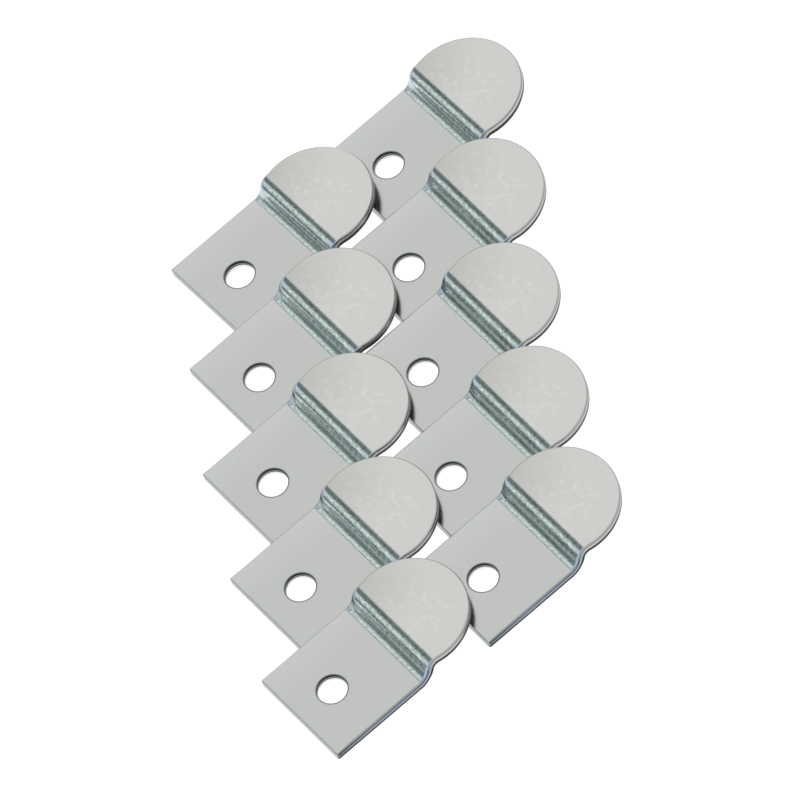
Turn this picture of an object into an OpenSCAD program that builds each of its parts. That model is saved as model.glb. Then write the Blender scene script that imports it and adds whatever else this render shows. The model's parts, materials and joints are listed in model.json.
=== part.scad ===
// Offset frame clips, ten alike, laid out in two shingled columns.
// Each clip is one strip of zinc plated sheet steel: a flat plate with a screw hole,
// a double bend, and a raised tongue with a round end.
// Frame: +X along the clips towards their tongues, +Y towards the first row, +Z up.
// Origin: bottom centre of the whole set, on the table.

/* [Clip] */
// Width of the strip
clip_w = 16; // [12:0.5:22]
// Length from the square end to the tip of the tongue
clip_len = 28.3; // [27:0.1:40]
// How far the round tongue stands out past each edge of the strip
tongue_flare = 0.2; // [0:0.1:0.6]
// Thickness of the sheet
sheet_t = 1.4; // [0.8:0.1:1.8]

/* [Double bend] */
// Length of the flat plate, up to the crease at the foot of the lower bend
plate_len = 14.9; // [12:0.1:18]
// Rise of the tongue above the plate, underside to underside
offset_h = 2.6; // [1.8:0.1:4]
// Turn of the sharp crease at the foot of the lower bend, in degrees
crease_angle = 26; // [5:1:40]
// Radius on the inside of the lower bend, above the crease
lower_bend_r = 2.4; // [1.6:0.1:3]
// Radius on the inside of the upper bend
upper_bend_r = 0.7; // [0.3:0.1:1.2]

/* [Screw hole] */
// Diameter of the screw hole
hole_d = 4.2; // [3:0.1:5.5]
// Distance from the square end to the centre of the hole
hole_inset = 5.9; // [4:0.1:8]

/* [Layout] */
// Reach of a left tongue over the plate of the clip on its right
tip_lap = 3.3; // [1:0.1:3.5]
// Side room between a left clip and the right clip of the next row
column_gap = 0.3; // [0.3:0.1:2]
// Gap left between two sheets that lie on each other
lap_gap = 0.05; // [0.02:0.01:0.2]

/* [Hidden] */

// Clips in each column
rows = 5;
// Step back from each clip to the next one of its column, as shares of the length
step_shares = [0.308, 0.33, 0.278, 0.255];
// Width of each clip that the next one covers, as shares of the width
lap_shares = [0.05, 0.1, 0.02, 0.02];
// Flat strips that each bend is drawn with
bend_sides = 16;
// How far cutting shapes run past what they cut
overrun = 1;
zinc = "#c4c8c6";
$fn = 96;

// Double bend, seen from the side: past the crease, two arcs that run into each other at the steepest slope
crown_r = upper_bend_r + sheet_t;
steepest = acos((lower_bend_r * cos(crease_angle) + crown_r - offset_h) / (lower_bend_r + crown_r));
lower_bend = [plate_len, sheet_t] + lower_bend_r * [-sin(crease_angle), cos(crease_angle)];
upper_bend = lower_bend + (lower_bend_r + crown_r) * [sin(steepest), -cos(steepest)];
// Where the crease turns the underside
crease_under = plate_len + sheet_t * tan(crease_angle / 2);
// Round end of the tongue
tongue_d = clip_w + 2 * tongue_flare;
tongue_x = clip_len - tongue_d / 2;

// Shingled columns: the first row lies flat, and every later clip leans on the one before
steps = clip_len * step_shares;
laps = clip_w * lap_shares;
lean = atan((sheet_t + lap_gap) / (clip_w - max(laps)));
pitches = [for (lap = laps) (clip_w - lap) / cos(lean)];
along_shift = clip_len - tip_lap;
across_shift = max(laps) + column_gap + tongue_flare;
// How far a leaning tongue hangs out past the edge that its clip stands on
lean_out = (offset_h + sheet_t) * sin(lean) + tongue_flare * cos(lean);

// Sum of a list from one place to its end
function sum_from(list, i) = i < len(list) ? list[i] + sum_from(list, i + 1) : 0;

set_len = sum_from(steps, 0) + along_shift + clip_len;
set_w = sum_from(pitches, 0) + clip_w + tongue_flare + across_shift + lean_out;
corner = [-set_len / 2, across_shift + lean_out - set_w / 2, 0];

// Points along an arc, without its first one where the arc before it ends there
function arc(centre, r, start, end, first = 0) =
    [for (i = [first : bend_sides]) centre + r * [cos(turn(start, end, i)), sin(turn(start, end, i))]];
function turn(start, end, i) = start + (end - start) * i / bend_sides;

// Plate, double bend and tongue seen from the side: first the underside, then back along the top.
// Both ends run past the plan outline.
module side_profile() {
    polygon(concat(
        [[-overrun, 0], [crease_under, 0]],
        arc(lower_bend, lower_bend_r + sheet_t, crease_angle - 90, steepest - 90),
        arc(upper_bend, upper_bend_r, steepest + 90, 90, 1),
        [[clip_len + overrun, offset_h], [clip_len + overrun, offset_h + sheet_t]],
        arc(upper_bend, crown_r, 90, steepest + 90),
        arc(lower_bend, lower_bend_r, steepest - 90, crease_angle - 90, 1),
        [[-overrun, sheet_t]]
    ));
}

// Outline of the strip seen from above: square at the plate, round at the tongue
module plan_outline() {
    square([tongue_x, clip_w]);
    translate([tongue_x, clip_w / 2])
        circle(d = tongue_d);
}

// One clip, its square end at x = 0 and its right edge along y = 0
module clip() {
    difference() {
        intersection() {
            translate([0, clip_w + overrun, 0])
                rotate([90, 0, 0])
                    linear_extrude(clip_w + 2 * overrun)
                        side_profile();
            translate([0, 0, -overrun])
                linear_extrude(offset_h + sheet_t + 2 * overrun)
                    plan_outline();
        }
        translate([hole_inset, clip_w / 2, -overrun])
            cylinder(d = hole_d, h = sheet_t + 2 * overrun);
    }
}

// Puts a clip in its row: its right edge on the table, its left edge on the clip before
module in_row(row, shift) {
    translate(corner + shift + [sum_from(steps, row), sum_from(pitches, row), 0])
        rotate([row == 0 ? 0 : lean, 0, 0])
            children();
}

module left_clip(row) {
    color(zinc)
        in_row(row, [0, 0, 0])
            clip();
}

module right_clip(row) {
    color(zinc)
        in_row(row, [along_shift, -across_shift, 0])
            clip();
}

for (row = [0 : rows - 1]) {
    right_clip(row);
    left_clip(row);
}
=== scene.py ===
import json
import math

import bpy
from mathutils import Matrix, Vector
from mathutils.geometry import delaunay_2d_cdt

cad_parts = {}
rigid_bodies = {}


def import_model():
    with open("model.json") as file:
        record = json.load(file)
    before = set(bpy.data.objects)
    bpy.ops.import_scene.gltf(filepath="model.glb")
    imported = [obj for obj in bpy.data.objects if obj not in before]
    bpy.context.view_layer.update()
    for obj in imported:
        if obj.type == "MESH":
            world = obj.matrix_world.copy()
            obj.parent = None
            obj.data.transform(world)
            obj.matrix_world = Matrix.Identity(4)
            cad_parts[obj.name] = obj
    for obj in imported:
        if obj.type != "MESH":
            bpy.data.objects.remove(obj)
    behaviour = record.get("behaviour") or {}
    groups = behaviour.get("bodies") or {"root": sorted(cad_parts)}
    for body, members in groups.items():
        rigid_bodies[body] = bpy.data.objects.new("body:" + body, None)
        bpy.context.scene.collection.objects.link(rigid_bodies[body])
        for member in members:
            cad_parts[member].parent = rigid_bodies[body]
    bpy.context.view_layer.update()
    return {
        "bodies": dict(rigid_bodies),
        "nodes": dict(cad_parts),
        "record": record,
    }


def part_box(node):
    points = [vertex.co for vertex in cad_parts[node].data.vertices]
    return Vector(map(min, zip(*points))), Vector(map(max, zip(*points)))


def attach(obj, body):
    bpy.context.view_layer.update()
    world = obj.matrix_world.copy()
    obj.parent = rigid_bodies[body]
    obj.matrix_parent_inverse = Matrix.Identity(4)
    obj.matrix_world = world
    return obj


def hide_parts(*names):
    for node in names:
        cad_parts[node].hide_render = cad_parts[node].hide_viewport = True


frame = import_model()
mm = 0.001
print("frame loaded:", len(frame["nodes"]), "clips")


# an sRGB hex colour as linear red, green, blue and alpha
def hexColour(code):
    channels = [int(code[i:i + 2], 16) / 255 for i in (1, 3, 5)]
    return [c / 12.92 if c <= 0.04045 else ((c + 0.055) / 1.055) ** 2.4 for c in channels] + [1.0]


# adds one node: settings are its properties, inputs are values or sockets to link
def addNode(tree, kind, inputs=None, **settings):
    node = tree.nodes.new(kind)
    for name, value in settings.items():
        setattr(node, name, value)
    for key, value in (inputs or {}).items():
        if isinstance(value, bpy.types.NodeSocket):
            tree.links.new(value, node.inputs[key])
        else:
            node.inputs[key].default_value = value
    return node


# The photograph's view, fitted to the ten clips. A very long lens keeps the strips' edges parallel.
view = {
    "azimuth": -17.98,  # this and the next two in degrees
    "elevation": 54.1,
    "roll": 25.64,  # the picture is turned anticlockwise by this
    "frameWidth": 106.89 * mm,  # width of the picture, measured at the origin
    "lens": 1000,
    "aside": -1.434 * mm,  # where the picture's middle lies, seen from the origin
    "above": -0.882 * mm,
    "farClip": 4,  # in camera distances
}


def setCamera():
    turn, rise, roll = (math.radians(view[k]) for k in ("azimuth", "elevation", "roll"))
    back = Vector((math.sin(turn) * math.cos(rise), -math.cos(turn) * math.cos(rise), math.sin(rise)))
    level = Vector((math.cos(turn), math.sin(turn), 0))
    upright = back.cross(level)
    right = math.cos(roll) * level - math.sin(roll) * upright
    up = math.sin(roll) * level + math.cos(roll) * upright
    data = bpy.data.cameras.new("photoView")
    data.lens = view["lens"]
    distance = view["frameWidth"] * data.lens / data.sensor_width
    data.clip_end = view["farClip"] * distance
    camera = bpy.data.objects.new("photoView", data)
    place = right * view["aside"] + up * view["above"] + back * distance
    camera.matrix_world = Matrix.Translation(place) @ Matrix((right, up, back)).transposed().to_4x4()
    bpy.context.scene.collection.objects.link(camera)
    bpy.context.scene.camera = camera


setCamera()
print("camera set")


# One strip, ten times. Its main sizes come from the clip that lies flat and from its screw hole.
flatNode = "right_clip_1"
mounts = {m["name"]: m for m in frame["record"]["mounts"]}
flatLow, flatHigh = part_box(flatNode)
flatHole = mounts[flatNode + "_screw_hole"]
sheet = flatHole["dims"]["length_mm"] * mm
strip = {
    "length": flatHigh.x - flatLow.x,
    "rise": flatHigh.z - flatLow.z - sheet,
    "tongueWidth": flatHigh.y - flatLow.y,
    "tongueFlare": 0.2 * mm,  # the tongue stands out past each edge of the strip by this
    "shoulder": 1.5 * mm,  # hollow between a straight edge and the tongue
    "plateLength": 14.9 * mm,
    "creaseAngle": math.radians(26),  # sharp turn at the foot of the lower bend
    "creaseRadius": 0.05 * mm,
    "lowerRadius": 2.4 * mm,  # both radii are on the inside of their bend
    "upperRadius": 0.7 * mm,
    "cornerRadius": 0.25 * mm,
    # how far the die has rolled the edges over
    "endEdge": 0.17 * mm,  # top edge of the square end
    "plateEdge": 0.28 * mm,  # top edges of the plate's sides
    "edgeRun": 2 * mm,  # by this far from the square end, the first has grown into the second
    "tongueEdge": 0.34 * mm,  # top edge of the tongue
    "underEdge": 0.08 * mm,
    "facetWidth": 1.5 * mm,  # at the left end of the lower bend the die has pressed a facet instead
    "facetDepth": 0.45 * mm,
    "cutTurn": (0.6, 1.2),  # radians of a rolled edge over which the skin gives way to the cut
    "facetCutTurn": (1.2, 1.5),  # the same on the facet
    # how finely the mesh is divided
    "plateSides": 8,
    "creaseSides": 6,
    "bendSides": 24,
    "tipSides": 84,
    "cornerSides": 6,
    "endSides": 8,
    "edgeSides": 8,
    "support": 0.05 * mm,  # flat strip beside each rounding, so that it shades true
    "fillInset": 2 * mm,  # points inside the plate keep this far from its sides and ends
    "fillSides": 6,
    "weld": 0.0001 * mm,  # points closer than this are one
}
hole = {
    "inset": flatHole["pos_m"][0] - flatLow.x,
    "radius": flatHole["dims"]["r_mm"] * mm,
    "rim": 0.17 * mm,  # width of the rolled rim, outside the bore
    "rimDrop": 0.06 * mm,
    "underRim": 0.1 * mm,
    "line": 0.06 * mm,  # width of the flat ring beside the rim, where the bore's painted dark shade line begins
    "sides": 72,
}


# The strip's centre line seen from the side: the corners where its straight runs would meet, the radius
# that rounds each corner, how far along the flat strip each bend starts and ends, and its whole length.
def bendPlan():
    half = sheet / 2
    crease, crown = strip["creaseAngle"], strip["upperRadius"] + sheet
    reach = strip["lowerRadius"] * math.cos(crease) + crown - strip["rise"]
    steepest = math.acos(reach / (strip["lowerRadius"] + crown))
    mitre = half * math.tan(crease / 2)
    lowerTurn = math.tan((steepest - crease) / 2)
    lowerRun = (strip["lowerRadius"] + half) * lowerTurn
    upperRun = (strip["upperRadius"] + half) * math.tan(steepest / 2)
    corners = [Vector((0, 0, half)), Vector((strip["plateLength"] + mitre, 0, half))]
    corners.append(corners[1] + (mitre + lowerRun) * Vector((math.cos(crease), 0, math.sin(crease))))
    corners.append(corners[2] + (lowerRun + upperRun) * Vector((math.cos(steepest), 0, math.sin(steepest))))
    corners.append(Vector((strip["length"], 0, corners[3].z)))
    creaseRun = (strip["creaseRadius"] + half) * math.tan(crease / 2)
    radii = [0, strip["creaseRadius"] + half, (mitre + lowerRun - creaseRun) / lowerTurn]
    radii += [strip["upperRadius"] + half, 0]
    bends = [corners[1].x - creaseRun]
    bends.append(bends[0] + radii[1] * crease)
    bends.append(bends[1] + radii[2] * (steepest - crease))
    bends.append(bends[2] + creaseRun - mitre)
    bends.append(bends[3] + radii[3] * steepest)
    flat = bends[4] + strip["length"] - corners[3].x - upperRun
    return corners, radii, bends, flat


stripWidth = strip["tongueWidth"] - 2 * strip["tongueFlare"]
lineCorners, lineRadii, (creaseStart, creaseEnd, lowerEnd, upperStart, upperEnd), flatLength = bendPlan()
holeCentre = Vector((hole["inset"], stripWidth / 2))


# a soft step from 0 at low to 1 at high
def blend(low, high, x):
    t = min(max((x - low) / (high - low), 0), 1)
    return t * t * (3 - 2 * t)


# evenly spaced values, both ends included
def spread(low, high, count):
    return [low + (high - low) * i / count for i in range(count + 1)]


# places along the flat strip where a line runs straight across it, up to where the tongue flares out
def crossLines(flareStart):
    near = strip["support"]
    plate = spread(strip["cornerRadius"], creaseStart - near, strip["plateSides"])
    crease = spread(creaseStart, creaseEnd, strip["creaseSides"])
    lower = spread(creaseEnd, lowerEnd, strip["bendSides"])[1:]
    upper = spread(upperStart, upperEnd, strip["bendSides"])
    return plate + crease + lower + upper + [upperEnd + near, flareStart]


# outline of the flat blank: points with the way out of the blank there, and the pairs that face each other
def outline():
    corner, shoulder = strip["cornerRadius"], strip["shoulder"]
    half, tip = stripWidth / 2, strip["tongueWidth"] / 2
    tipMiddle = Vector((flatLength - tip, half))
    flareRun = math.sqrt((tip + shoulder) ** 2 - (half + shoulder) ** 2)
    flareTurn = math.asin(flareRun / (tip + shoulder))
    lines = crossLines(tipMiddle.x - flareRun)
    side = [(Vector((u, 0)), Vector((0, -1))) for u in lines]
    for a in spread(0, flareTurn, strip["creaseSides"])[1:-1]:
        out = -Vector((math.sin(a), math.cos(a)))
        side.append((Vector((lines[-1], -shoulder)) - shoulder * out, out))
    points = list(side)
    tipTurn = math.pi / 2 + flareTurn
    for a in spread(-tipTurn, tipTurn, strip["tipSides"]):
        out = Vector((math.cos(a), math.sin(a)))
        points.append((tipMiddle + tip * out, out))
    points += [(Vector((p.x, stripWidth - p.y)), Vector((out.x, -out.y))) for p, out in reversed(side)]
    pairs = [(i, len(points) - 1 - i) for i in range(len(lines))]
    turns = spread(0, math.pi / 2, strip["cornerSides"])
    for a in turns[1:]:
        out = Vector((-math.sin(a), math.cos(a)))
        points.append((Vector((corner, stripWidth - corner)) + corner * out, out))
    squareEnd = spread(stripWidth - corner, corner, strip["endSides"])[1:]
    points += [(Vector((0, v)), Vector((-1, 0))) for v in squareEnd]
    for a in turns[1:-1]:
        out = Vector((-math.cos(a), -math.sin(a)))
        points.append((Vector((corner, corner)) + corner * out, out))
    return points, pairs


# Rings down an edge: how far each lies inside the outline, its height, and how much it shows the cut.
# The flatness is 0 for a rolled edge and 1 for a flat facet.
def edgeRings(top, drop, flatness, under, beside):
    arc = spread(0, math.pi / 2, strip["edgeSides"])
    turns = zip(strip["cutTurn"], strip["facetCutTurn"])
    cutStart, cutEnd = (rolled + flatness * (facet - rolled) for rolled, facet in turns)
    rings = [(top + beside, sheet, 0.0)]
    for a in arc:
        fall = drop * (1 - math.cos(a) + flatness * (math.sin(a) + math.cos(a) - 1))
        rings.append((top * (1 - math.sin(a)), sheet - fall, blend(cutStart, cutEnd, a)))
    rings += [(under * (1 - math.cos(a)), under * (1 - math.sin(a)), 1.0) for a in arc]
    return rings + [(under + strip["support"], 0, 0.0)]


# the edge's rings at one point of the outline
def edgeAt(p):
    top = strip["endEdge"]
    top += blend(strip["cornerRadius"], strip["edgeRun"], p.x) * (strip["plateEdge"] - top)
    top += blend(creaseStart, upperEnd, p.x) * (strip["tongueEdge"] - top)
    pressed = 0
    if p.y > stripWidth / 2:
        lowerMiddle = (creaseEnd + lowerEnd) / 2
        pressed = blend(creaseStart, lowerMiddle, p.x) * blend(upperEnd, lowerMiddle, p.x)
    drop = top + pressed * (strip["facetDepth"] - top)
    top += pressed * (strip["facetWidth"] - top)
    return edgeRings(top, drop, pressed, strip["underEdge"], strip["support"])


def addPoint(shape, spot, cut=0.0, bore=0.0):
    shape["points"].append(spot)
    shape["cutEdge"].append(cut)
    shape["boreWall"].append(bore)


# joins the rings of points added since start into a wall; the wall of a hole faces inwards
def joinRings(shape, start, count, inwards):
    for upper in range(start, len(shape["points"]) - count, count):
        lower = upper + count
        for i in range(count):
            j = (i + 1) % count
            if inwards:
                shape["faces"].append((upper + i, upper + j, lower + j, lower + i))
            else:
                shape["faces"].append((upper + i, lower + i, lower + j, upper + j))


def addOuterWall(shape, loop):
    profiles = [edgeAt(p) for p, _ in loop]
    for k in range(len(profiles[0])):
        for (p, out), profile in zip(loop, profiles):
            inset, height, cut = profile[k]
            addPoint(shape, (*(p - inset * out), height), cut=cut)
    joinRings(shape, 0, len(loop), inwards=False)


# the screw hole's wall, with its rolled rim
def addHoleWall(shape):
    start = len(shape["points"])
    rings = edgeRings(hole["rim"], hole["rimDrop"], 0, hole["underRim"], hole["line"])
    for k, (inset, height, _) in enumerate(rings):
        onWall = 1.0 if 0 < k < len(rings) - 1 else 0.0
        for a in spread(0, 2 * math.pi, hole["sides"])[:-1]:
            spot = holeCentre + (hole["radius"] + inset) * Vector((math.cos(a), math.sin(a)))
            addPoint(shape, (*spot, height), bore=onWall)
    joinRings(shape, start, hole["sides"], inwards=True)


# the two flat sides: filled between the outline, the hole and the lines across the bends
def fillSides(shape, loop, pairs, holeStart):
    count, sides, wallEnd = len(loop), hole["sides"], len(shape["points"])
    topRim = [*range(count), *range(holeStart, holeStart + sides)]
    underRim = [*range(holeStart - count, holeStart), *range(wallEnd - sides, wallEnd)]
    inset = strip["fillInset"]
    edges = [(i, (i + 1) % count) for i in range(count)]
    edges += [(count + i, count + (i + 1) % sides) for i in range(sides)]
    edges += [pair for pair in pairs if loop[pair[0]][0].x > strip["plateLength"] - inset]
    inner = []
    for u in spread(inset, strip["plateLength"] - inset, strip["fillSides"]):
        for v in spread(inset, stripWidth - inset, strip["fillSides"]):
            if math.dist((u, v), holeCentre) > hole["radius"] + inset / 2:
                inner.append(Vector((u, v)))
    flat = [Vector(shape["points"][i][:2]) for i in topRim] + inner
    insideOnly = 1  # leaves out what lies outside the outline
    spots, _, patches, sources, _, _ = delaunay_2d_cdt(flat, edges, [], insideOnly, strip["weld"])
    # patches nearer the middle than this are the hole
    clear = (hole["radius"] + hole["rim"] + hole["line"]) * math.cos(math.pi / sides)
    for rim, height, facesDown in ((topRim, sheet, False), (underRim, 0, True)):
        innerStart = len(shape["points"])
        for p in inner:
            addPoint(shape, (p.x, p.y, height))
        known = rim + list(range(innerStart, innerStart + len(inner)))
        for patch in patches:
            middle = sum((spots[i] for i in patch), Vector((0, 0))) / len(patch)
            if math.dist(middle, holeCentre) < clear:
                continue
            corners = [known[sources[i][0]] for i in patch]
            shape["faces"].append(tuple(reversed(corners)) if facesDown else tuple(corners))


# The flat blank as it leaves the press: pierced, cut round at the tongue, its edges rolled over.
def makeBlank():
    shape = {"points": [], "faces": [], "cutEdge": [], "boreWall": []}
    loop, pairs = outline()
    addOuterWall(shape, loop)
    holeStart = len(shape["points"])
    addHoleWall(shape)
    fillSides(shape, loop, pairs, holeStart)
    mesh = bpy.data.meshes.new("flatBlank")
    mesh.from_pydata(shape["points"], [], shape["faces"])
    mesh.polygons.foreach_set("use_smooth", [True] * len(mesh.polygons))
    place = mesh.attributes.new("sheetPlace", "FLOAT_VECTOR", "POINT")
    place.data.foreach_set("vector", [x for p in shape["points"] for x in p])
    for name in ("cutEdge", "boreWall"):
        mesh.attributes.new(name, "FLOAT", "POINT").data.foreach_set("value", shape[name])
    mesh.validate(verbose=True)
    return mesh


# Bends the blank along the strip's centre line, leans it and lays it in its row.
def makePressTree():
    tree = bpy.data.node_groups.new("pressAndLay", "GeometryNodeTree")
    sockets = tree.interface
    sockets.new_socket("Geometry", in_out="OUTPUT", socket_type="NodeSocketGeometry")
    sockets.new_socket("Geometry", in_out="INPUT", socket_type="NodeSocketGeometry")
    for name in ("Square End", "Crease Corner", "Lower Corner", "Upper Corner", "Tip", "Place"):
        sockets.new_socket(name, in_out="INPUT", socket_type="NodeSocketVector")
    for name in ("Crease Radius", "Lower Radius", "Upper Radius", "Sheet", "Lean"):
        sockets.new_socket(name, in_out="INPUT", socket_type="NodeSocketFloat")
    sockets.new_socket("Bend Sides", in_out="INPUT", socket_type="NodeSocketInt")
    sockets.new_socket("Finish", in_out="INPUT", socket_type="NodeSocketMaterial")
    given = addNode(tree, "NodeGroupInput").outputs
    # the centre line: five corners, the middle three rounded
    corners = [given[k] for k in ("Square End", "Crease Corner", "Lower Corner", "Upper Corner", "Tip")]
    radii = [0.0] + [given[k] for k in ("Crease Radius", "Lower Radius", "Upper Radius")] + [0.0]
    order = addNode(tree, "GeometryNodeInputIndex").outputs[0]
    corner = addNode(tree, "GeometryNodeIndexSwitch", data_type="VECTOR")
    radius = addNode(tree, "GeometryNodeIndexSwitch", data_type="FLOAT")
    for choice, values in ((corner, corners), (radius, radii)):
        while len(choice.index_switch_items) < len(values):
            choice.index_switch_items.new()
        tree.links.new(order, choice.inputs["Index"])
        for i, value in enumerate(values):
            if isinstance(value, bpy.types.NodeSocket):
                tree.links.new(value, choice.inputs[i + 1])  # the first input is the index
            else:
                choice.inputs[i + 1].default_value = value
    wire = addNode(tree, "GeometryNodeCurvePrimitiveLine").outputs[0]
    wire = addNode(tree, "GeometryNodeResampleCurve", {"Curve": wire, "Count": len(corners)},
                   mode="COUNT").outputs[0]
    wire = addNode(tree, "GeometryNodeSetPosition", {
        "Geometry": wire, "Position": corner.outputs[0]}).outputs[0]
    centreLine = addNode(tree, "GeometryNodeFilletCurve", {
        "Curve": wire, "Count": given["Bend Sides"], "Radius": radius.outputs[0]}, mode="POLY").outputs[0]
    # every point of the blank keeps its distance from the centre line
    flatSpot = addNode(tree, "GeometryNodeInputPosition").outputs[0]
    flat = addNode(tree, "ShaderNodeSeparateXYZ", {0: flatSpot}).outputs
    along = addNode(tree, "GeometryNodeSampleCurve", {"Curves": centreLine, "Length": flat["X"]},
                    mode="LENGTH", use_all_curves=True).outputs
    across = addNode(tree, "ShaderNodeCombineXYZ", {"Y": flat["Y"]}).outputs[0]
    upwards = addNode(tree, "ShaderNodeVectorMath", {0: along["Tangent"], 1: (0, 1, 0)},
                      operation="CROSS_PRODUCT").outputs[0]
    halfSheet = addNode(tree, "ShaderNodeMath", {0: given["Sheet"], 1: 2.0}, operation="DIVIDE").outputs[0]
    height = addNode(tree, "ShaderNodeMath", {0: flat["Z"], 1: halfSheet}, operation="SUBTRACT").outputs[0]
    offCentre = addNode(tree, "ShaderNodeVectorMath", {0: upwards, "Scale": height},
                        operation="SCALE").outputs[0]
    onLine = addNode(tree, "ShaderNodeVectorMath", {0: along["Position"], 1: across}).outputs[0]
    spot = addNode(tree, "ShaderNodeVectorMath", {0: onLine, 1: offCentre}).outputs[0]
    pressed = addNode(tree, "GeometryNodeSetPosition", {
        "Geometry": given["Geometry"], "Position": spot}).outputs[0]
    turn = addNode(tree, "ShaderNodeCombineXYZ", {"X": given["Lean"]}).outputs[0]
    laid = addNode(tree, "GeometryNodeTransform", {
        "Geometry": pressed, "Translation": given["Place"], "Rotation": turn}).outputs[0]
    whole = addNode(tree, "GeometryNodeRealizeInstances", {"Geometry": laid}).outputs[0]
    finished = addNode(tree, "GeometryNodeSetMaterial", {
        "Geometry": whole, "Material": given["Finish"]}).outputs[0]
    addNode(tree, "NodeGroupOutput", {"Geometry": finished})
    return tree


# Zinc plated steel, barrel plated and clear passivated: a satin silver skin, faintly clouded on the tongue,
# greenish and drawn into fine streaks where the die bent it. Its cut edges and the hole's wall carry bands by
# depth that are painted reflections, painted highlight lines and painted shade lines.
zinc = {
    "plate": "#bdbcbb",
    "plateLeft": "#c3c2c1",
    "plateLeftWidth": 5 * mm,
    "tongue": "#cac7c6",
    "tongueDull": "#bab7b4",  # the tongue is duller near the left end of the bend
    "dullReach": 9 * mm,
    "bend": "#bdc9c8",
    "bendEnd": "#aebccf",  # bluer at both ends of the bend
    "bendEndWidth": 1.6 * mm,
    # the underside painted paler than the plate: painted light that lifts the dark gaps under the tongues
    "underside": "#dededc",
    # cut edges and the hole's wall, as shares of the way from the top face down to the underside; these bands
    # are painted reflections, painted highlight lines and painted shade lines
    # the cut sides: bluish-grey bands painted as the reflection of bluish surroundings, a pale painted
    # highlight line low down, and a near-black painted shade line at the foot
    "side": ((0.1, "#757f8a"), (0.2, "#5f6a76"), (0.45, "#626d7a"), (0.52, "#b8c2cd"), (0.59, "#b8c2cd"),
             (0.66, "#16181b")),
    # the tongue's rolled rim: a grey line, a pale painted highlight band, then a dark painted shade line at
    # the foot
    "rim": ((0.06, "#868684"), (0.2, "#8c8c8a"), (0.3, "#c6c6c4"), (0.45, "#c6c6c4"), (0.55, "#3a3b3d"),
            (0.9, "#242527")),
    # the square end, painted darker towards the bottom as shade
    "end": ((0.15, "#b0b3b2"), (0.6, "#a6a9a8"), (0.9, "#8c8f8e")),
    # the hole's wall: near-black painted shade just under the rim, then grey and dark painted bands, and
    # near-white lower down, a painted reflection of the white floor that makes the wall look thinner
    "bore": ((0.003, "#8c8d8e"), (0.018, "#48494b"), (0.04, "#0e0f11"), (0.27, "#121315"), (0.33, "#8e8f91"),
             (0.4, "#8a8b8d"), (0.46, "#343537"), (0.55, "#404143"), (0.64, "#e6e6e6")),
    "corner": "#b4b6b0",  # darkens the cut sides near the square end
    "cornerLength": 6 * mm,
    # clouds on the tongue
    "cloud": "#dddbd8",
    "cloudSize": 1.3 * mm,
    "cloudReach": 7.5 * mm,  # they fade out this far from the middle of the tongue
    "cloudDetail": 6.0,
    "cloudRoughness": 0.65,
    "cloudLevels": (0.48, 0.72),  # noise where a cloud starts, and where it is full
    "cloudStrength": 0.42,
    # streaks along the bends
    "streakWidth": 0.18 * mm,
    "streakLength": 0.5 * mm,
    "streakFade": 0.45 * mm,  # they fade out over this length at the top of the upper bend
    "streakDetail": 3.0,
    "streakLevels": (0.35, 0.65),
    "streakTones": (0.62, 1.2),  # the bend's colour is multiplied by these
    # grain of the plating: the real one is finer than a pixel, so it is drawn this coarse to show
    "grainSize": 0.25 * mm,
    "grainDetail": 2.0,
    "grainLevels": (0.3, 0.7),
    "grainTones": (0.985, 1.015),
    # gloss and relief
    "roughness": 0.16,
    "roughnessSpread": 0.05,
    "cutRoughness": 0.36,
    "reliefDepth": 0.02 * mm,
    "relief": (0.05, 0.5),  # how strongly the grain and the streaks stand out
}


# Shares worked out from the place on the flat blank: each is 0 at the start of its span and 1 at the end.
def placeShares(tree, place):
    spot = addNode(tree, "ShaderNodeSeparateXYZ", {0: place}).outputs
    offMiddle = addNode(tree, "ShaderNodeMath", {0: spot["Y"], 1: stripWidth / 2},
                        operation="SUBTRACT").outputs[0]
    offMiddle = addNode(tree, "ShaderNodeMath", {0: offMiddle}, operation="ABSOLUTE").outputs[0]
    tongueMiddle = (flatLength - strip["tongueWidth"] / 2, stripWidth / 2, sheet)
    fromMiddle = addNode(tree, "ShaderNodeVectorMath", {0: place, 1: tongueMiddle},
                         operation="DISTANCE").outputs["Value"]
    fromBend = addNode(tree, "ShaderNodeVectorMath", {0: place, 1: (upperEnd, stripWidth, sheet)},
                       operation="DISTANCE").outputs["Value"]
    spans = {
        "raised": (spot["X"], lowerEnd, upperEnd),
        "bending": (spot["X"], creaseStart, creaseEnd),
        "settling": (spot["X"], upperEnd, (upperStart + upperEnd) / 2),
        "streaked": (spot["X"], upperEnd, upperEnd - zinc["streakFade"]),
        "nearCorner": (spot["X"], zinc["cornerLength"], 0.0),
        "square": (spot["X"], strip["cornerRadius"], 0.0),
        "leftwards": (spot["Y"], stripWidth - zinc["plateLeftWidth"], stripWidth),
        "bendEnd": (offMiddle, stripWidth / 2 - zinc["bendEndWidth"], stripWidth / 2),
        "depth": (spot["Z"], sheet, 0.0),
        "inCloud": (fromMiddle, zinc["cloudReach"], zinc["cloudReach"] / 2),
        "brightening": (fromBend, 0.0, zinc["dullReach"]),
    }
    share = {}
    for name, (measure, start, end) in spans.items():
        share[name] = addNode(tree, "ShaderNodeMapRange", {
            "Value": measure, "From Min": start, "From Max": end}).outputs[0]
    share["inMiddle"] = addNode(tree, "ShaderNodeMath", {0: 1.0, 1: share["bendEnd"]},
                                operation="SUBTRACT").outputs[0]
    share["bent"] = addNode(tree, "ShaderNodeMath", {0: share["bending"], 1: share["settling"]},
                            operation="MULTIPLY").outputs[0]
    return share


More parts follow.
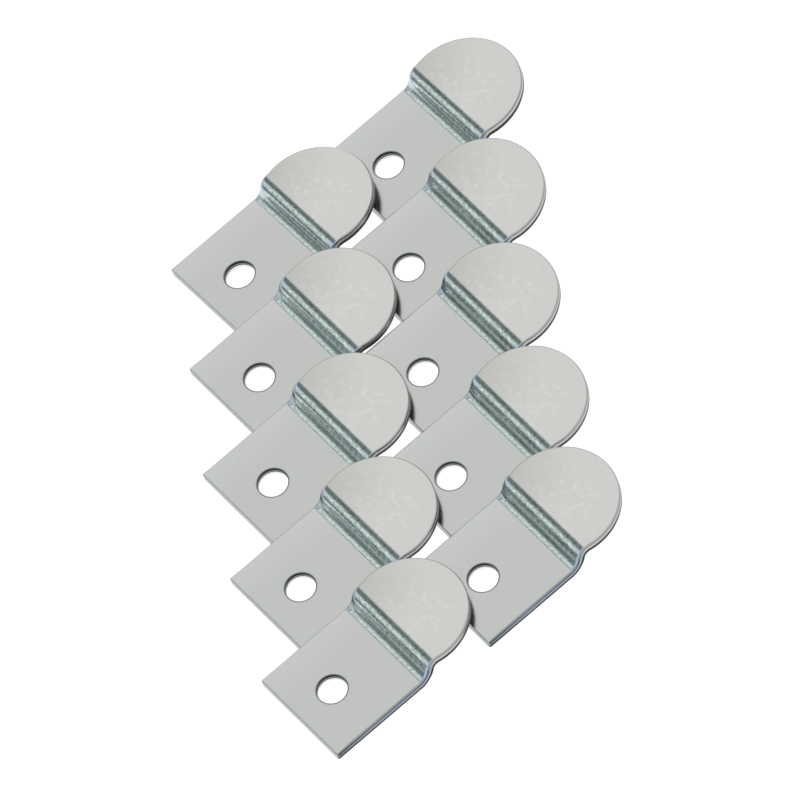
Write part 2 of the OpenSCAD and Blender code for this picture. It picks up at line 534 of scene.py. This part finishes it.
# colours of the cut edges and the hole's wall, in bands by depth: painted reflections, painted highlight
# lines and painted shade lines
def paintedDepthBands(tree, depth):
    paintedBands = {}
    for name in ("side", "rim", "end", "bore"):
        ramp = addNode(tree, "ShaderNodeValToRGB", {"Fac": depth})
        stops = ramp.color_ramp.elements
        stops.remove(stops[1])
        stops[0].position, stops[0].color = zinc[name][0][0], hexColour(zinc[name][0][1])
        for at, code in zinc[name][1:]:
            stops.new(at).color = hexColour(code)
        paintedBands[name] = ramp.outputs["Color"]
    return paintedBands


def makeZinc():
    material = bpy.data.materials.new("zincPlatedSteel")
    material.use_nodes = True
    tree = material.node_tree
    tree.nodes.clear()
    # where a point lies: on the flat blank, on a cut edge or on the hole's wall
    place = addNode(tree, "ShaderNodeAttribute", attribute_name="sheetPlace").outputs["Vector"]
    cut = addNode(tree, "ShaderNodeAttribute", attribute_name="cutEdge").outputs["Fac"]
    bore = addNode(tree, "ShaderNodeAttribute", attribute_name="boreWall").outputs["Fac"]
    share = placeShares(tree, place)
    # clouds, streaks and grain
    clouds = addNode(tree, "ShaderNodeTexNoise", {
        "Vector": place, "Scale": 1 / zinc["cloudSize"], "Detail": zinc["cloudDetail"],
        "Roughness": zinc["cloudRoughness"]}).outputs["Fac"]
    cloudy = addNode(tree, "ShaderNodeMapRange", {
        "Value": clouds, "From Min": zinc["cloudLevels"][0], "From Max": zinc["cloudLevels"][1],
        "To Max": zinc["cloudStrength"]}).outputs[0]
    cloudy = addNode(tree, "ShaderNodeMath", {0: cloudy, 1: share["inCloud"]},
                     operation="MULTIPLY").outputs[0]
    drawn = addNode(tree, "ShaderNodeMapping", {"Vector": place, "Scale": (
        1 / zinc["streakWidth"], 1 / zinc["streakLength"], 1 / zinc["streakLength"])}).outputs[0]
    streaks = addNode(tree, "ShaderNodeTexNoise", {
        "Vector": drawn, "Scale": 1.0, "Detail": zinc["streakDetail"]}).outputs["Fac"]
    grain = addNode(tree, "ShaderNodeTexNoise", {
        "Vector": place, "Scale": 1 / zinc["grainSize"], "Detail": zinc["grainDetail"]}).outputs["Fac"]
    shades = {}
    for name, noise in (("streak", streaks), ("grain", grain)):
        low, high = zinc[name + "Levels"]
        dark, light = zinc[name + "Tones"]
        shades[name] = addNode(tree, "ShaderNodeMapRange", {
            "Value": noise, "From Min": low, "From Max": high, "To Min": dark, "To Max": light}).outputs[0]
    streaked = addNode(tree, "ShaderNodeMath", {0: share["streaked"], 1: share["bending"]},
                       operation="MULTIPLY").outputs[0]
    streaked = addNode(tree, "ShaderNodeMath", {0: streaked, 1: share["inMiddle"]},
                       operation="MULTIPLY").outputs[0]
    shade = addNode(tree, "ShaderNodeMix", {"Factor": streaked, "A": shades["grain"], "B": shades["streak"]},
                    data_type="FLOAT").outputs["Result"]
    # the skin: plate, then tongue, clouds, bends and the underside, painted paler as painted light, over it
    twoTones = {
        "plate": ("leftwards", "plate", "plateLeft"),
        "tongue": ("brightening", "tongueDull", "tongue"),
        "bend": ("bendEnd", "bend", "bendEnd"),
    }
    tones = {}
    for name, (between, first, second) in twoTones.items():
        tones[name] = addNode(tree, "ShaderNodeMix", {
            "Factor": share[between], "A": hexColour(zinc[first]), "B": hexColour(zinc[second])},
            data_type="RGBA").outputs["Result"]
    skin = tones["plate"]
    for amount, tone in ((share["raised"], tones["tongue"]), (cloudy, hexColour(zinc["cloud"])),
                         (share["bent"], tones["bend"]), (share["depth"], hexColour(zinc["underside"]))):
        skin = addNode(tree, "ShaderNodeMix", {"Factor": amount, "A": skin, "B": tone},
                       data_type="RGBA").outputs["Result"]
    skin = addNode(tree, "ShaderNodeVectorMath", {0: skin, "Scale": shade}, operation="SCALE").outputs[0]
    # the cut edges and the hole's wall over it, with their painted light and shade bands
    paintedBands = paintedDepthBands(tree, share["depth"])
    edge = paintedBands["side"]
    for amount, tone, way in ((share["raised"], paintedBands["rim"], "MIX"),
                              (share["nearCorner"], hexColour(zinc["corner"]), "MULTIPLY"),
                              (share["square"], paintedBands["end"], "MIX")):
        edge = addNode(tree, "ShaderNodeMix", {"Factor": amount, "A": edge, "B": tone},
                       data_type="RGBA", blend_type=way).outputs["Result"]
    colour = skin
    for amount, tone in ((cut, edge), (bore, paintedBands["bore"])):
        colour = addNode(tree, "ShaderNodeMix", {"Factor": amount, "A": colour, "B": tone},
                         data_type="RGBA").outputs["Result"]
    # gloss and relief
    smooth = addNode(tree, "ShaderNodeMapRange", {
        "Value": clouds, "To Min": zinc["roughness"],
        "To Max": zinc["roughness"] + zinc["roughnessSpread"]}).outputs[0]
    worked = addNode(tree, "ShaderNodeMath", {0: cut, 1: bore}, operation="MAXIMUM").outputs[0]
    roughness = addNode(tree, "ShaderNodeMix", {"Factor": worked, "A": smooth, "B": zinc["cutRoughness"]},
                        data_type="FLOAT").outputs["Result"]
    rippled = addNode(tree, "ShaderNodeMath", {0: share["bent"], 1: share["inMiddle"]},
                      operation="MULTIPLY").outputs[0]
    ripple = addNode(tree, "ShaderNodeMix", {"Factor": rippled, "A": grain, "B": streaks},
                     data_type="FLOAT").outputs["Result"]
    relief = addNode(tree, "ShaderNodeMapRange", {
        "Value": rippled, "To Min": zinc["relief"][0], "To Max": zinc["relief"][1]}).outputs[0]
    bump = addNode(tree, "ShaderNodeBump", {
        "Height": ripple, "Strength": relief, "Distance": zinc["reliefDepth"]}).outputs[0]
    shader = addNode(tree, "ShaderNodeBsdfPrincipled", {
        "Base Color": colour, "Metallic": 1.0, "Roughness": roughness, "Normal": bump})
    addNode(tree, "ShaderNodeOutputMaterial", {"Surface": shader.outputs[0]})
    return material


zincSteel = makeZinc()
blank = makeBlank()
press = makePressTree()
print("blank made:", len(blank.polygons), "faces")


def layClip(node):
    mount = mounts[node + "_screw_hole"]
    axis = Vector(mount["axis"])
    lean = math.atan2(-axis.y, axis.z)
    holeMiddle = Vector((*holeCentre, sheet / 2))
    place = Vector(mount["pos_m"]) - Matrix.Rotation(lean, 3, "X") @ holeMiddle
    inputs = {
        "Square End": lineCorners[0],
        "Crease Corner": lineCorners[1],
        "Lower Corner": lineCorners[2],
        "Upper Corner": lineCorners[3],
        "Tip": lineCorners[4],
        "Crease Radius": lineRadii[1],
        "Lower Radius": lineRadii[2],
        "Upper Radius": lineRadii[3],
        "Sheet": sheet,
        "Bend Sides": strip["bendSides"],
        "Lean": lean,
        "Place": place,
        "Finish": zincSteel,
    }
    worked = bpy.data.objects.new("worked", blank)
    modifier = worked.modifiers.new("press", "NODES")
    modifier.node_group = press
    for socket in press.interface.items_tree:
        if socket.in_out == "INPUT" and socket.name in inputs:
            modifier[socket.identifier] = inputs[socket.name]
    bpy.context.scene.collection.objects.link(worked)
    evaluated = worked.evaluated_get(bpy.context.evaluated_depsgraph_get())
    mesh = bpy.data.meshes.new_from_object(evaluated)
    bpy.data.objects.remove(worked)
    words = node.split("_")
    name = words[0] + words[1].capitalize() + words[2]
    mesh.name = name
    clip = bpy.data.objects.new(name, mesh)
    bpy.context.scene.collection.objects.link(clip)
    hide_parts(node)
    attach(clip, node)


for node in frame["bodies"]:
    layClip(node)
print("clips laid")


# White paper floor. It glows to the camera and in reflections, so it shows white and keeps a faint shadow.
floorLook = {
    "radius": 4.0,  # in metres
    "sides": 64,
    "drop": 0.02 * mm,  # below the clips, so that no two faces lie in one plane
    "colour": "#a8a8a8",
    "roughness": 0.9,
    "glow": 0.88,
    "glowColour": "#ffffff",
}


def makeFloor():
    mesh = bpy.data.meshes.new("floor")
    radius, height = floorLook["radius"], -floorLook["drop"]
    turns = spread(0, 2 * math.pi, floorLook["sides"])[:-1]
    ring = [(radius * math.cos(a), radius * math.sin(a), height) for a in turns]
    mesh.from_pydata(ring, [], [tuple(range(len(ring)))])
    material = bpy.data.materials.new("whitePaper")
    material.use_nodes = True
    tree = material.node_tree
    tree.nodes.clear()
    rays = addNode(tree, "ShaderNodeLightPath").outputs
    seen = rays["Is Camera Ray"]
    for kind in ("Is Glossy Ray", "Is Transmission Ray"):
        seen = addNode(tree, "ShaderNodeMath", {0: seen, 1: rays[kind]}, operation="MAXIMUM").outputs[0]
    glow = addNode(tree, "ShaderNodeMath", {0: seen, 1: floorLook["glow"]}, operation="MULTIPLY").outputs[0]
    shader = addNode(tree, "ShaderNodeBsdfPrincipled", {
        "Base Color": hexColour(floorLook["colour"]), "Roughness": floorLook["roughness"],
        "Specular IOR Level": 0.0, "Emission Color": hexColour(floorLook["glowColour"]),
        "Emission Strength": glow})
    addNode(tree, "ShaderNodeOutputMaterial", {"Surface": shader.outputs[0]})
    mesh.materials.append(material)
    floor = bpy.data.objects.new("floor", mesh)
    bpy.context.scene.collection.objects.link(floor)


# soft panels: where each stands, what it faces, its sides in metres and its brightness, where 1 is white
panels = {
    "rightTent": {"at": (0.645, 0.75, 1.0), "faces": (0.645, 0.75, 0), "sides": (1.4, 1.8), "level": 0.36},
    "leftKey": {"at": (-0.864, 0.576, 0.6), "faces": (0, 0, 0), "sides": (1.2, 0.56), "level": 0.44},
}
# the pale room all round, with two darker openings that draw the lines along the bends
room = {
    "walls": "#d9dfdc",
    "softness": math.radians(4),
    "openings": {
        "betweenPanels": {"towards": (-0.3, 0.48, 0.82), "spread": math.radians(15), "shade": "#7f8a88"},
        "lowLeft": {"towards": (-0.82, 0.53, 0.12), "spread": math.radians(16.5), "shade": "#8e9997"},
    },
}


def makePanels():
    for name, panel in panels.items():
        data = bpy.data.lights.new(name, "AREA")
        data.shape = "RECTANGLE"
        data.size, data.size_y = panel["sides"]
        data.energy = panel["level"] * math.pi * data.size * data.size_y
        lamp = bpy.data.objects.new(name, data)
        towards = Vector(panel["faces"]) - Vector(panel["at"])
        turn = towards.to_track_quat("-Z", "Y").to_matrix().to_4x4()
        lamp.matrix_world = Matrix.Translation(panel["at"]) @ turn
        bpy.context.scene.collection.objects.link(lamp)


def makeRoom():
    world = bpy.data.worlds.new("studio")
    world.use_nodes = True
    tree = world.node_tree
    tree.nodes.clear()
    direction = addNode(tree, "ShaderNodeTexCoord").outputs["Generated"]
    tone = hexColour(room["walls"])
    for opening in room["openings"].values():
        middle = Vector(opening["towards"]).normalized()
        aim = addNode(tree, "ShaderNodeVectorMath", {0: direction, 1: middle},
                      operation="DOT_PRODUCT").outputs["Value"]
        inside = addNode(tree, "ShaderNodeMapRange", {
            "Value": aim, "From Min": math.cos(opening["spread"] + room["softness"]),
            "From Max": math.cos(opening["spread"] - room["softness"])}).outputs[0]
        tone = addNode(tree, "ShaderNodeMix", {"Factor": inside, "A": tone, "B": hexColour(opening["shade"])},
                       data_type="RGBA").outputs["Result"]
    backdrop = addNode(tree, "ShaderNodeBackground", {"Color": tone})
    addNode(tree, "ShaderNodeOutputWorld", {"Surface": backdrop.outputs[0]})
    bpy.context.scene.world = world


makeFloor()
makePanels()
makeRoom()
bpy.context.scene.view_settings.view_transform = "Standard"
print("stage lit")
